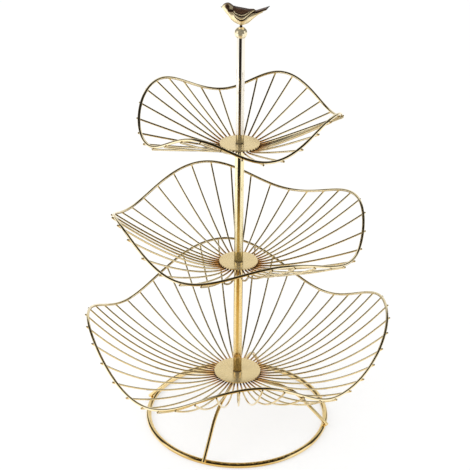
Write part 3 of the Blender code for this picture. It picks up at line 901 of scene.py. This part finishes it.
# Its beak: place along X, height, half its width and half its depth
BEAK_ROWS = (
    (-19.9, 17.75, 0.12, 0.12),
    (-19.0, 17.9, 0.5, 0.42),
    (-17.8, 18.0, 1.05, 0.95),
    (-16.0, 18.1, 1.7, 1.7),
)
BEAK_SIDES = 12
EYE_PLACE = -14.2
EYE_DEGREES = 32
EYE_RADIUS = 0.75
EYE_SINK = 0.15
EYE_SIDES = 14
# The peg and collar between the ball and the belly, as (radius, height)
PERCH = ((0, -2.2), (1.7, -2.2), (1.2, -0.6), (1.2, 2.5), (0, 2.5))
PERCH_ROUNDING = 0.4
PERCH_SIDES = 32
BELLY_LIFT = 1.6 * MM
# How dark the plain pieces are
BEAK_DARKNESS = 0.6
EYE_DARKNESS = 0.8
PERCH_DARKNESS = 0.95


def body_point(place, angle, proud=0.0):
    low, high, width = curve_through(BODY_ROWS, place)
    return Vector((
        place,
        (width / 2 + proud) * math.cos(angle),
        (low + high) / 2 + ((high - low) / 2 + proud) * math.sin(angle),
    ))


def body_darkness(place, angle):
    """How dark it is painted at one place and turn of the body: painted shade on the back and crown, dark marks on
    the cheek and collar.
    """
    up = math.degrees(math.asin(math.sin(angle)))
    # The back and crown are painted dark as shade on the upper side
    back = step_up(place, *BACK_ALONG) * step_up(up, *BACK_UP)
    crown = max(CROWN_BROWN * step_up(up, *CROWN_BROWN_UP), step_up(up, *CROWN_DARK_UP))
    crown *= step_up(place, *CROWN_ALONG)
    away = math.hypot((place - CHEEK_MIDDLE[0]) / CHEEK_SIZE[0], (up - CHEEK_MIDDLE[1]) / CHEEK_SIZE[1])
    cheek = CHEEK_DARKNESS * (1 - step_up(away, *CHEEK_FADE))
    start, level, rise = COLLAR_LINE
    off_line = abs(up - level - rise * (place - start))
    collar = step_up(place, *COLLAR_START) * (1 - step_up(place, *COLLAR_END))
    collar *= COLLAR_DARKNESS * (1 - step_up(off_line, *COLLAR_FADE))
    return max(back, crown, cheek, collar)


def bird_body():
    places = []
    for row, following in zip(BODY_ROWS, BODY_ROWS[1:]):
        places += [row[0] + (following[0] - row[0]) * step / BODY_STEPS for step in range(BODY_STEPS)]
    places.append(BODY_ROWS[-1][0])
    points = []
    darkness = []
    for place in places:
        for side in range(BODY_SIDES):
            angle = math.tau * side / BODY_SIDES
            points.append(body_point(place, angle))
            darkness.append(body_darkness(place, angle))
    return points, ring_faces(len(places), BODY_SIDES), darkness


def wing_thickness(share):
    """How proud the wing stands of the body, from its upper edge to its lower one."""
    upper, lower = WING_EDGES
    if share < upper:
        return -WING_SUNK + share / upper * 2 * WING_SUNK
    if share > lower:
        return LOWER_EDGE - (share - lower) / (1 - lower) * LOWER_EDGE_FALL
    least, most = WING_PROUD
    lift = least + (most - least) * min(share / WING_MIDDLE, 1)
    for middle, wide, tall in WING_BANDS + WING_LINES:
        away = abs(share - middle) / wide
        if away < 1:
            lift += tall * math.cos(away * math.pi / 2)
    return lift


def wing_darkness(share, place):
    """Dark between the two bright bands and round them, browner above with rows of small feathers."""
    bright = max(1 - step_up(abs(share - band[0]), *fade) for band, fade in zip(WING_BANDS, BAND_FADES))
    row = share / FEATHER_ROW
    scallop = abs(math.sin(math.pi * (place / FEATHER_LENGTH + 0.5 * (int(row) % 2))))
    edge = step_up(abs(row % 1 - FEATHER_EDGE + FEATHER_BOW * scallop), *FEATHER_FADE)
    feather = FEATHER_DARKNESS + (1 - FEATHER_DARKNESS) * edge
    return (1 - bright) * (feather if share < FEATHERS_END else 1.0)


def bird_wing(hand):
    """The wing on the side of -Y for -1 and of +Y for 1."""
    front, back = WING_ROWS[0][0], WING_ROWS[-1][0]
    points = []
    darkness = []
    for step in range(WING_STEPS + 1):
        place = front + (back - front) * step / WING_STEPS
        low, high = curve_through(WING_ROWS, place)
        fade = min(step / WING_FADES[0], (WING_STEPS - step) / WING_FADES[1], 1) ** 0.5
        for down in range(WING_STEPS_DOWN + 1):
            share = down / WING_STEPS_DOWN
            angle = math.radians(high + (low - high) * share)
            proud = wing_thickness(share) * fade - WING_SUNK * (1 - fade)
            point = body_point(place, angle, proud)
            points.append(Vector((point.x, hand * point.y, point.z)))
            darkness.append(max(wing_darkness(share, place), 1 - step_up(step, *FRONT_DARK)))
    faces = []
    across = WING_STEPS_DOWN + 1
    for step in range(WING_STEPS):
        for down in range(WING_STEPS_DOWN):
            here = step * across + down
            faces.append((here, here + 1, here + across + 1, here + across))
    return points, faces, darkness


def tail_darkness(wide, tall):
    """Dark along both edges of the tail's upper side and down its middle, browner between them: painted shade on
    its upper side.
    """
    lines = max(step_up(abs(wide), *TAIL_EDGE_LINE), 1 - step_up(abs(wide), *TAIL_MIDDLE_LINE))
    # The tail's upper side is painted dark as shade
    return (TAIL_DARKNESS + (1 - TAIL_DARKNESS) * lines) * step_up(tall, *TAIL_UPPER_SIDE)


def bird_tail():
    """A flat tail that rises behind, cut aslant and notched."""
    section = []
    for side in range(TAIL_SIDES):
        wide, tall = math.cos(math.tau * side / TAIL_SIDES), math.sin(math.tau * side / TAIL_SIDES)
        section.append((math.copysign(abs(wide) ** 0.5, wide), math.copysign(abs(tall) ** 0.8, tall)))
    points = []
    darkness = []
    for along, height, half, thick in TAIL_ROWS:
        for wide, tall in section:
            points.append(Vector((along, half * wide, height + thick * tall)))
            darkness.append(tail_darkness(wide, tall))
    end, end_height = TAIL_ROWS[-1][:2]
    least, corners, slant = TAIL_END_REACH
    for wide, tall in section:
        reach = least + corners * abs(wide) ** 1.5 + slant * wide
        height = end_height + reach * TAIL_END_RISE + TAIL_END_THICK * tall
        points.append(Vector((end + reach, TAIL_END_HALF * wide, height)))
        darkness.append(1.0)
    return points, ring_faces(len(TAIL_ROWS) + 1, TAIL_SIDES), darkness


def bird_beak():
    points = []
    for along, height, wide, tall in BEAK_ROWS:
        for side in range(BEAK_SIDES):
            angle = math.tau * side / BEAK_SIDES
            points.append(Vector((along, wide * math.cos(angle), height + tall * math.sin(angle))))
    return points, ring_faces(len(BEAK_ROWS), BEAK_SIDES)


def bird_eye(hand):
    socket = body_point(EYE_PLACE, math.radians(EYE_DEGREES))
    centre = Vector((socket.x, hand * (abs(socket.y) - EYE_SINK), socket.z))
    rings = EYE_SIDES // 2 - 1
    points = []
    for ring in range(1, rings + 1):
        turn = math.pi * ring / (rings + 1)
        for side in range(EYE_SIDES):
            angle = math.tau * side / EYE_SIDES
            points.append(centre + EYE_RADIUS * Vector((
                math.sin(turn) * math.cos(angle), math.cos(turn), math.sin(turn) * math.sin(angle),
            )))
    return points, ring_faces(rings, EYE_SIDES)


def scaled(shape, foot):
    points, faces, darkness = shape
    return [Vector((point.x * MM, point.y * MM, foot + point.z * MM)) for point in points], faces, darkness


def build_bird():
    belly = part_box("finial_ball")[1].z + BELLY_LIFT
    perch = lathe(rounded(PERCH, PERCH_ROUNDING), PERCH_SIDES)
    parts = [bird_body(), bird_tail(), evenly_dark(bird_beak(), BEAK_DARKNESS), evenly_dark(perch, PERCH_DARKNESS)]
    parts += [evenly_dark(bird_eye(hand), EYE_DARKNESS) for hand in (-1, 1)]
    make_piece("bird_body", scaled(joined_with_darkness(*parts), belly), bird_gold, "stand",
               ["bird"], 50)
    for name, hand in (("bird_left_wing", -1), ("bird_right_wing", 1)):
        make_piece(name, scaled(bird_wing(hand), belly), bird_gold, "stand", (), 60)


for tier_name, tier_sizes in TIERS.items():
    build_tier(tier_name, tier_sizes)
build_base()
build_poles()
build_ball()
build_bird()
# The studs and inserts inside the pole are shown as the CAD has them
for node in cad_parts.values():
    if not node.hide_render:
        node.data.materials.clear()
        node.data.materials.append(steel)


# Studio: a white floor and an even white sky for the camera, and another one that the metal mirrors

WHITE = (1.0, 1.0, 1.0)
FLOOR_HALF = 4
FLOOR_PAINT = (0.86, 0.86, 0.87)
# How much of the floor's brightness for the camera takes shadows
FLOOR_SHADOWED = 0.4
# The part of the studio ahead of the object is unlit. It lies round a line left of straight ahead by the tangent
# given, right of it where that is negative, and fades out between the two tangents of a wedge
FLOOR_LEFT = 0.3
FLOOR_WEDGE = (0.6, 1.0)
WORLD_LEFT = -0.12
WORLD_WEDGE = (1.2, 2.2)
# The floor's colour there at each distance in metres
FLOOR_AHEAD = (
    (0.06, (0.92, 0.86, 0.70)),
    (0.16, (0.72, 0.56, 0.27)),
    (0.30, (0.56, 0.39, 0.14)),
    (0.52, (0.20, 0.125, 0.03)),
    (0.62, (0.13, 0.07, 0.016)),
    (0.74, (0.05, 0.03, 0.014)),
    (0.90, (0.02, 0.017, 0.014)),
)
# Elsewhere the floor is white, but dim from here to there behind the object, in metres
DIM_FLOOR = (0.20, 0.17, 0.13)
DIM_FLOOR_START = (0.08, 0.22)
DIM_FLOOR_END = (0.38, 0.55)
# White walls stand beside the object, and a dimmer and higher one behind it. They end where a direction's Z goes
# through the values given, and the one behind starts where its Y does
SIDE_WALL_TOP = (0.42, 0.60)
BACK_WALL_START = (0.35, 0.60)
BACK_WALL_TOP = (0.62, 0.76)
BACK_WALL_WHITE = 0.80
# The corners between them are dark but for a share of the white, from the first tangents off straight behind the
# object to the second ones
CORNER_START = (0.5, 0.8)
CORNER_END = (6.0, 16.0)
CORNER_WHITE = 0.05
# What isn't lit, and what is ahead of the object below the values of Z given
UNLIT = (0.016, 0.014, 0.012)
DIM_AHEAD = (0.05, 0.036, 0.024)
DIM_AHEAD_TOP = (0.1, 0.5)
# The least that a distance or a part of a direction is divided by
SMALLEST = 0.0001

LAMP_PLACE = (-1.3, -0.5, 1.1)
LAMP_TARGET = (0, 0, 0.2)
LAMP_SIZE = 0.9
LAMP_POWER = 8

# The camera that was fitted to the photograph
CAMERA_PLACE = (-0.00402, -1.19311, 0.83116)
CAMERA_LENS = 96.75
CAMERA_SENSOR = 36
CAMERA_PITCH_DEGREES = 26.817
CAMERA_ROLL_DEGREES = 0.52


def in_front(tree, x, y, left, wedge):
    """1 near straight ahead, or left of that by the tangent given, and 0 past the wedge."""
    aside = node_math(tree, "ABSOLUTE", node_math(tree, "SUBTRACT", x, product(tree, y, left)))
    ahead = node_math(tree, "MAXIMUM", product(tree, y, -1.0), SMALLEST)
    return ease(tree, node_math(tree, "DIVIDE", aside, ahead), *wedge, low=1.0, high=0.0)


def in_corner(tree, x, y):
    """1 from about 39 to 80 degrees off straight behind the object, 0 beside it and straight behind it."""
    behind = node_math(tree, "MAXIMUM", y, SMALLEST)
    aside = node_math(tree, "DIVIDE", node_math(tree, "ABSOLUTE", x), behind)
    return product(tree, ease(tree, aside, *CORNER_START), ease(tree, aside, *CORNER_END, low=1.0, high=0.0))


def floor_ahead(tree, reach):
    ramp = tree.nodes.new("ShaderNodeValToRGB")
    elements = ramp.color_ramp.elements
    while len(elements) < len(FLOOR_AHEAD):
        elements.new(0.5)
    # All places are set before any colour, because the elements are kept in the order of their places
    distances, colours = zip(*FLOOR_AHEAD)
    for element, distance in zip(elements, distances):
        element.position = distance
    for element, colour in zip(elements, colours):
        element.color = (*colour, 1)
    tree.links.new(reach, ramp.inputs["Fac"])
    return ramp.outputs["Color"]


def build_floor():
    half = FLOOR_HALF
    corners = [(-half, -half, 0), (half, -half, 0), (half, half, 0), (-half, half, 0)]
    mesh = bpy.data.meshes.new("floor")
    mesh.from_pydata(corners, [], [(0, 1, 2, 3)])
    floor = bpy.data.objects.new("floor", mesh)
    bpy.context.scene.collection.objects.link(floor)
    made = bpy.data.materials.new("white_floor")
    made.use_nodes = True
    tree = made.node_tree
    tree.nodes.clear()
    output = tree.nodes.new("ShaderNodeOutputMaterial")
    path = tree.nodes.new("ShaderNodeLightPath")
    place = tree.nodes.new("ShaderNodeTexCoord").outputs["Object"]
    x, y = split_axes(tree, place)[:2]
    reach = vector_length(tree, place)

    paint = tree.nodes.new("ShaderNodeBsdfDiffuse")
    paint.inputs["Color"].default_value = (*FLOOR_PAINT, 1)
    lit = tree.nodes.new("ShaderNodeBsdfDiffuse")
    lit.inputs["Color"].default_value = (*WHITE, 1)
    glow = tree.nodes.new("ShaderNodeEmission")
    glow.inputs["Color"].default_value = (*WHITE, 1)
    seen = mix_shaders(tree, FLOOR_SHADOWED, glow.outputs["Emission"], lit.outputs["BSDF"])

    near = ease(tree, reach, *DIM_FLOOR_END, low=1.0, high=0.0)
    behind = product(tree, ease(tree, y, *DIM_FLOOR_START), near)
    elsewhere = mix_colours(tree, behind, WHITE, DIM_FLOOR)
    ahead = in_front(tree, x, y, FLOOR_LEFT, FLOOR_WEDGE)
    mirrored = tree.nodes.new("ShaderNodeBsdfDiffuse")
    tree.links.new(mix_colours(tree, ahead, elsewhere, floor_ahead(tree, reach)), mirrored.inputs["Color"])

    direct = mix_shaders(tree, path.outputs["Is Camera Ray"], paint.outputs["BSDF"], seen)
    every = mix_shaders(tree, path.outputs["Is Glossy Ray"], direct, mirrored.outputs["BSDF"])
    tree.links.new(every, output.inputs["Surface"])
    mesh.materials.append(made)


def build_world():
    world = bpy.data.worlds.new("studio")
    bpy.context.scene.world = world
    world.use_nodes = True
    tree = world.node_tree
    tree.nodes.clear()
    output = tree.nodes.new("ShaderNodeOutputWorld")
    path = tree.nodes.new("ShaderNodeLightPath")
    x, y, z = split_axes(tree, tree.nodes.new("ShaderNodeTexCoord").outputs["Generated"])

    back = ease(tree, y, *BACK_WALL_START)
    beside = ease(tree, z, *SIDE_WALL_TOP, low=1.0, high=0.0)
    behind = ease(tree, z, *BACK_WALL_TOP, low=BACK_WALL_WHITE, high=0.0)
    wall = node_math(tree, "ADD", product(tree, behind, back), product(tree, beside, rest_of(tree, back)))
    corner = product(tree, in_corner(tree, x, y), 1.0 - CORNER_WHITE)
    wall = product(tree, wall, rest_of(tree, corner))
    ahead = in_front(tree, x, y, WORLD_LEFT, WORLD_WEDGE)
    lit = product(tree, wall, rest_of(tree, ahead))
    dim = product(tree, ahead, ease(tree, z, *DIM_AHEAD_TOP, low=1.0, high=0.0))
    unlit = mix_colours(tree, dim, UNLIT, DIM_AHEAD)

    white = tree.nodes.new("ShaderNodeBackground")
    white.inputs["Color"].default_value = (*WHITE, 1)
    mirrored = tree.nodes.new("ShaderNodeBackground")
    tree.links.new(mix_colours(tree, lit, unlit, WHITE), mirrored.inputs["Color"])
    sky, studio = white.outputs["Background"], mirrored.outputs["Background"]
    every = mix_shaders(tree, path.outputs["Is Glossy Ray"], sky, studio)
    every = mix_shaders(tree, path.outputs["Is Camera Ray"], every, sky)
    tree.links.new(every, output.inputs["Surface"])


def build_lamp():
    lamp = bpy.data.lights.new("left_lamp", "AREA")
    lamp.shape = "DISK"
    lamp.size = LAMP_SIZE
    lamp.energy = LAMP_POWER
    made = bpy.data.objects.new("left_lamp", lamp)
    made.location = LAMP_PLACE
    made.rotation_mode = "QUATERNION"
    made.rotation_quaternion = (Vector(LAMP_TARGET) - Vector(LAMP_PLACE)).to_track_quat("-Z", "Y")
    made.visible_glossy = False
    bpy.context.scene.collection.objects.link(made)


def build_camera():
    data = bpy.data.cameras.new("camera")
    data.sensor_width = CAMERA_SENSOR
    data.lens = CAMERA_LENS
    camera = bpy.data.objects.new("camera", data)
    bpy.context.scene.collection.objects.link(camera)
    pitch = Matrix.Rotation(math.radians(90 - CAMERA_PITCH_DEGREES), 4, "X")
    roll = Matrix.Rotation(math.radians(CAMERA_ROLL_DEGREES), 4, "Z")
    camera.matrix_world = Matrix.Translation(CAMERA_PLACE) @ pitch @ roll
    bpy.context.scene.camera = camera


build_floor()
build_world()
build_lamp()
build_camera()
bpy.context.scene.view_settings.view_transform = "Standard"
